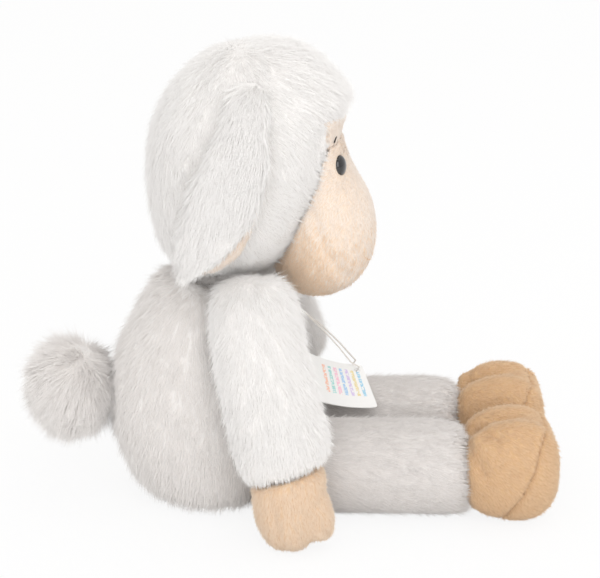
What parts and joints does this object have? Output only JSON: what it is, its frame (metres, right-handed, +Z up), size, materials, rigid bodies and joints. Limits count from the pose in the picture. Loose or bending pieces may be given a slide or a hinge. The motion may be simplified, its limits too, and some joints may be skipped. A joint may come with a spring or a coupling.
{
  "type": "plush sheep",
  "caption": "Seated plush sheep: white long-pile wool, tan short-pile face, cloven hands and boots, hanging ears, pompom tail and a card hang tag on the lap",
  "frame": {"origin": "centre of the flat underside of the seat", "axes": "+X the way the sheep faces, +Y its left, +Z up"},
  "size_m": [0.3226, 0.213, 0.2848],
  "materials": {
    "white_wool": "long white pile",
    "tan_plush": "short tan velour pile",
    "black_eye_plastic": "polished black",
    "clear_plastic": "clear to milky",
    "black_thread": "embroidery thread",
    "tan_thread": "sewing thread",
    "white_card": "coated card"
  },
  "bodies": {
    "torso": {"body": "white_wool"},
    "neck": {"neck": "white_wool"},
    "head": {"head": "white_wool", "face": "tan_plush", "eye_left": "black_eye_plastic", "eye_right": "black_eye_plastic", "eye_washer_left": "clear_plastic", "eye_washer_right": "clear_plastic", "brow_left": "black_thread", "brow_right": "black_thread", "mouth_stitch": "tan_thread"},
    "ear_left": {"ear_left": "white_wool", "ear_lining_left": "tan_plush"},
    "ear_right": {"ear_right": "white_wool", "ear_lining_right": "tan_plush"},
    "arm_left": {"arm_left": "white_wool", "hand_left": "tan_plush"},
    "arm_right": {"arm_right": "white_wool", "hand_right": "tan_plush"},
    "leg_left": {"leg_left": "white_wool", "foot_left": "tan_plush", "sole_left": "tan_plush"},
    "leg_right": {"leg_right": "white_wool", "foot_right": "tan_plush", "sole_right": "tan_plush"},
    "tail": {"tail": "white_wool"},
    "tag": {"hang_tag": "white_card", "tag_loop": "clear_plastic"}
  },
  "joints": [
    {"name": "head_turn", "type": "hinge", "parent": "torso", "child": "neck", "pos_m": [0, 0, 0.128], "axis": [0, 0, 1], "range_deg": [-14, 14], "stiffness_Nm_per_rad": 0.06},
    {"name": "head_nod", "type": "hinge", "parent": "neck", "child": "head", "pos_m": [0, 0, 0.128], "axis": [0, 1, 0], "range_deg": [-5, 6], "stiffness_Nm_per_rad": 0.8, "springref_deg": -1.15},
    {"name": "ear_lift_left", "type": "hinge", "parent": "head", "child": "ear_left", "pos_m": [0, 0.037, 0.27], "axis": [1, 0, 0], "range_deg": [0, 70]},
    {"name": "ear_lift_right", "type": "hinge", "parent": "head", "child": "ear_right", "pos_m": [0, -0.037, 0.27], "axis": [1, 0, 0], "range_deg": [-70, 0]},
    {"name": "arm_swing_left", "type": "hinge", "parent": "torso", "child": "arm_left", "pos_m": [0.018, 0.033, 0.131], "axis": [0, 1, 0], "range_deg": [-90, 22], "stiffness_Nm_per_rad": 0.06},
    {"name": "arm_swing_right", "type": "hinge", "parent": "torso", "child": "arm_right", "pos_m": [0.018, -0.033, 0.131], "axis": [0, 1, 0], "range_deg": [-90, 22], "stiffness_Nm_per_rad": 0.06},
    {"name": "leg_swing_left", "type": "hinge", "parent": "torso", "child": "leg_left", "pos_m": [0.046, 0.033, 0.0292], "axis": [0, 1, 0], "range_deg": [0, 80], "stiffness_Nm_per_rad": 0.25, "springref_deg": -22.92},
    {"name": "leg_swing_right", "type": "hinge", "parent": "torso", "child": "leg_right", "pos_m": [0.046, -0.033, 0.0292], "axis": [0, 1, 0], "range_deg": [0, 80], "stiffness_Nm_per_rad": 0.25, "springref_deg": -22.92},
    {"name": "tail_wag", "type": "hinge", "parent": "torso", "child": "tail", "pos_m": [-0.07, 0, 0.068], "axis": [0, 0, 1], "range_deg": [-15, 15], "stiffness_Nm_per_rad": 0.03},
    {"name": "tag_swing", "type": "hinge", "parent": "torso", "child": "tag", "pos_m": [0.0376, 0, 0.124], "axis": [0, 1, 0], "range_deg": [-25, 0]}
  ]
}
